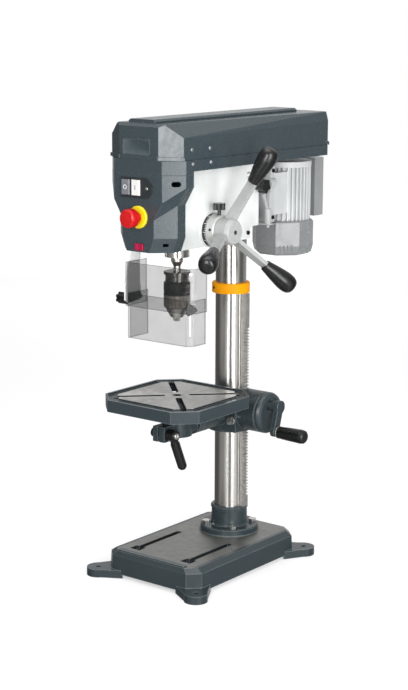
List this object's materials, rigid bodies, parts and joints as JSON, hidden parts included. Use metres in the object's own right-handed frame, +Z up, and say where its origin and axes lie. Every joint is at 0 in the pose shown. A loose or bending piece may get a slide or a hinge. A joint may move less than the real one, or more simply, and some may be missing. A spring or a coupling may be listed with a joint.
{
  "type": "benchtop drill press",
  "caption": "Benchtop drill press with a ribbed base, round column, rack-lift tilting table, belt head, keyless chuck, feed hub with grips and a clear swing-away chuck guard.",
  "frame": {"origin": "centre of the four foot holes, level with the bench", "axes": "+Z up the column, operator in front at -Y, operator's right hand at +X"},
  "size_m": [0.3881, 0.674, 1.0273],
  "materials": {
    "cast_grey": "satin",
    "table_iron": "machined top, painted rim",
    "column_steel": "ground",
    "bright_zinc": "zinc plated",
    "bearing_steel": "ground",
    "collar_orange": "gloss",
    "head_white": "satin",
    "cover_grey": "semi-gloss",
    "motor_cover": "satin",
    "plate_dark": "satin",
    "stop_grey": "satin",
    "start_white": "satin",
    "estop_yellow": "gloss",
    "estop_red": "gloss",
    "rocker_red": "gloss",
    "chuck_dark": "blackened",
    "pulley_alu": "cast",
    "belt_rubber": "matt",
    "hub_alu": "satin",
    "spoke_chrome": "polished",
    "grip_black": "satin",
    "spring_steel": "blued",
    "motor_grey": "painted cast",
    "guard_steel": "satin",
    "guard_clear": "clear plastic sheet"
  },
  "bodies": {
    "frame": {"base_plate": "cast_grey", "column_flange": "cast_grey", "flange_bolts": "bright_zinc", "column_tube": "column_steel", "rack_collar": "collar_orange", "head_casting": "head_white", "front_cover": "cover_grey", "switch_plate": "plate_dark", "estop_ring": "estop_yellow", "belt_tray": "cover_grey", "lid_pins": "column_steel", "sleeve_bearings": "bearing_steel", "drive_belt": "belt_rubber", "spring_cap": "cover_grey", "return_spring": "spring_steel", "guard_post": "guard_steel"},
    "lid": {"belt_lid": "cover_grey"},
    "quill": {"quill": "column_steel", "quill_bearings": "bearing_steel"},
    "spindle": {"spindle": "column_steel", "chuck_body": "chuck_dark"},
    "chuck_sleeve": {"chuck_sleeve": "chuck_dark"},
    "jaw_a": {"chuck_jaw_a": "chuck_dark"},
    "jaw_b": {"chuck_jaw_b": "chuck_dark"},
    "jaw_c": {"chuck_jaw_c": "chuck_dark"},
    "drive_pulley": {"spindle_pulley": "pulley_alu"},
    "motor": {"motor_bracket": "motor_grey", "slide_bars": "column_steel", "motor_body": "motor_grey", "fan_cover": "motor_cover", "capacitor_box": "motor_cover"},
    "rotor": {"motor_shaft": "column_steel", "motor_pulley": "pulley_alu"},
    "tension_lever": {"tension_lever": "spoke_chrome"},
    "motor_lock_knob": {"motor_lock_knob": "grip_black"},
    "feed": {"pinion_shaft": "column_steel", "feed_hub": "hub_alu", "feed_spokes": "spoke_chrome", "feed_grips": "grip_black"},
    "depth_ring": {"depth_ring": "hub_alu"},
    "depth_knob": {"depth_knob": "grip_black"},
    "guard": {"guard_arm": "guard_steel", "guard_upper": "guard_clear"},
    "guard_lower": {"guard_lower": "guard_clear"},
    "guard_knob": {"guard_knob": "grip_black"},
    "guard_wing": {"guard_wing": "grip_black"},
    "estop": {"estop_button": "estop_red"},
    "stop": {"stop_button": "stop_grey"},
    "start": {"start_button": "start_white"},
    "rocker": {"rocker_switch": "rocker_red"},
    "rack": {"column_rack": "column_steel"},
    "bracket": {"table_bracket": "cast_grey", "bracket_bolt": "bright_zinc"},
    "lift_gear": {"lift_gear": "column_steel"},
    "crank": {"worm_shaft": "column_steel", "crank_arm": "cast_grey"},
    "crank_grip": {"crank_grip": "grip_black"},
    "support": {"table_support": "cast_grey"},
    "table": {"table_top": "table_iron"},
    "table_lever": {"table_lever": "grip_black"}
  },
  "joints": [
    {"name": "table_swing", "type": "hinge", "parent": "frame", "child": "rack", "pos_m": [0, 0.1, 0.3], "axis": [0, 0, 1], "range_deg": [-180, 180]},
    {"name": "table_lift", "type": "slide", "parent": "rack", "child": "bracket", "axis": [0, 0, -1], "range_m": [-0.12, 0.17]},
    {"name": "gear_turn", "type": "hinge", "parent": "bracket", "child": "lift_gear", "pos_m": [0.06778, 0.1, 0.338], "axis": [0, 1, 0], "continuous": true},
    {"name": "crank_turn", "type": "hinge", "parent": "bracket", "child": "crank", "pos_m": [0, 0.1, 0.3725], "axis": [1, 0, 0], "continuous": true},
    {"name": "crank_grip_spin", "type": "hinge", "parent": "crank", "child": "crank_grip", "pos_m": [0, 0.08363, 0.31895], "axis": [1, 0, 0], "continuous": true},
    {"name": "table_tilt", "type": "hinge", "parent": "bracket", "child": "support", "pos_m": [0, 0, 0.352], "axis": [0, 1, 0], "range_deg": [-45, 45]},
    {"name": "table_turn", "type": "hinge", "parent": "support", "child": "table", "pos_m": [0, -0.095, 0.416], "axis": [0, 0, 1], "range_deg": [-180, 180]},
    {"name": "table_clamp", "type": "hinge", "parent": "support", "child": "table_lever", "pos_m": [0, -0.145, 0.338], "axis": [-1, 0, 0], "range_deg": [0, 100]},
    {"name": "lid_open", "type": "hinge", "parent": "frame", "child": "lid", "pos_m": [-0.107, 0, 0.944], "axis": [0, -1, 0], "range_deg": [0, 95]},
    {"name": "quill_feed", "type": "slide", "parent": "frame", "child": "quill", "axis": [0, 0, -1], "range_m": [0, 0.08], "stiffness_N_per_m": 600, "springref_m": -0.25, "deforming": ["return_spring"]},
    {"name": "spindle_spin", "type": "hinge", "parent": "quill", "child": "spindle", "pos_m": [0, -0.095, 0.6], "axis": [0, 0, 1], "continuous": true},
    {"name": "drive_spin", "type": "hinge", "parent": "frame", "child": "drive_pulley", "pos_m": [0, -0.095, 0.95], "axis": [0, 0, 1], "continuous": true},
    {"name": "chuck_grip", "type": "hinge", "parent": "spindle", "child": "chuck_sleeve", "pos_m": [0, -0.095, 0.64], "axis": [0, 0, 1], "range_deg": [0, 720]},
    {"name": "jaw_a_slide", "type": "slide", "parent": "spindle", "child": "jaw_a", "axis": [0, 0.2079, 0.9781], "range_m": [0, 0.02888]},
    {"name": "jaw_b_slide", "type": "slide", "parent": "spindle", "child": "jaw_b", "axis": [-0.1801, -0.104, 0.9781], "range_m": [0, 0.02888]},
    {"name": "jaw_c_slide", "type": "slide", "parent": "spindle", "child": "jaw_c", "axis": [0.1801, -0.104, 0.9781], "range_m": [0, 0.02888]},
    {"name": "feed_turn", "type": "hinge", "parent": "frame", "child": "feed", "pos_m": [0, -0.057, 0.7845], "axis": [1, 0, 0], "range_deg": [-2, 355]},
    {"name": "depth_set", "type": "hinge", "parent": "feed", "child": "depth_ring", "pos_m": [0, -0.057, 0.7845], "axis": [1, 0, 0], "range_deg": [0, 330]},
    {"name": "depth_knob_turn", "type": "hinge", "parent": "depth_ring", "child": "depth_knob", "pos_m": [0.0854, -0.057, 0.7845], "axis": [0, 0, 1], "range_deg": [0, 360]},
    {"name": "motor_slide", "type": "slide", "parent": "frame", "child": "motor", "axis": [0, -1, 0], "range_m": [0, 0.012], "deforming": ["drive_belt"]},
    {"name": "motor_spin", "type": "hinge", "parent": "motor", "child": "rotor", "pos_m": [0, 0.3, 0.95], "axis": [0, 0, 1], "continuous": true},
    {"name": "tension_turn", "type": "hinge", "parent": "frame", "child": "tension_lever", "pos_m": [0.072, 0.14, 0.8], "axis": [0, 0, 1], "range_deg": [0, 80]},
    {"name": "motor_lock_turn", "type": "hinge", "parent": "frame", "child": "motor_lock_knob", "pos_m": [0, 0.112, 0.866], "axis": [1, 0, 0], "range_deg": [0, 360]},
    {"name": "guard_swing", "type": "hinge", "parent": "frame", "child": "guard", "pos_m": [-0.101, -0.112, 0.65], "axis": [0, 0, -1], "range_deg": [0, 100]},
    {"name": "guard_raise", "type": "slide", "parent": "guard", "child": "guard_lower", "axis": [0, 0, 1], "range_m": [0, 0.058]},
    {"name": "guard_knob_turn", "type": "hinge", "parent": "guard", "child": "guard_knob", "pos_m": [0, -0.15, 0.629], "axis": [1, 0, 0], "range_deg": [0, 360]},
    {"name": "guard_wing_turn", "type": "hinge", "parent": "guard", "child": "guard_wing", "pos_m": [0.0835, -0.1535, 0.626], "axis": [0.7071, -0.7071, 0], "range_deg": [0, 360]},
    {"name": "estop_press", "type": "slide", "parent": "frame", "child": "estop", "axis": [0, 1, 0], "range_m": [0, 0.005], "stiffness_N_per_m": 600, "springref_m": -0.002},
    {"name": "stop_press", "type": "slide", "parent": "frame", "child": "stop", "axis": [0, 1, 0], "range_m": [0, 0.004], "stiffness_N_per_m": 400, "springref_m": -0.002},
    {"name": "start_press", "type": "slide", "parent": "frame", "child": "start", "axis": [0, 1, 0], "range_m": [0, 0.004], "stiffness_N_per_m": 400, "springref_m": -0.002},
    {"name": "rocker_tip", "type": "hinge", "parent": "frame", "child": "rocker", "pos_m": [0.004, -0.222, 0.761], "axis": [0, 0, 1], "range_deg": [-8, 8]}
  ],
  "couplings": [
    {"joint": "gear_turn", "follows": "table_lift", "rad_per_m": 44.444},
    {"joint": "crank_turn", "follows": "table_lift", "rad_per_m": -888.89},
    {"joint": "drive_spin", "follows": "spindle_spin", "ratio": 1},
    {"joint": "motor_spin", "follows": "spindle_spin", "ratio": 1.2065},
    {"joint": "feed_turn", "follows": "quill_feed", "rad_per_m": 76.923},
    {"joint": "jaw_a_slide", "follows": "chuck_grip", "m_per_rad": 0.0022965},
    {"joint": "jaw_b_slide", "follows": "chuck_grip", "m_per_rad": 0.0022965},
    {"joint": "jaw_c_slide", "follows": "chuck_grip", "m_per_rad": 0.0022965}
  ]
}
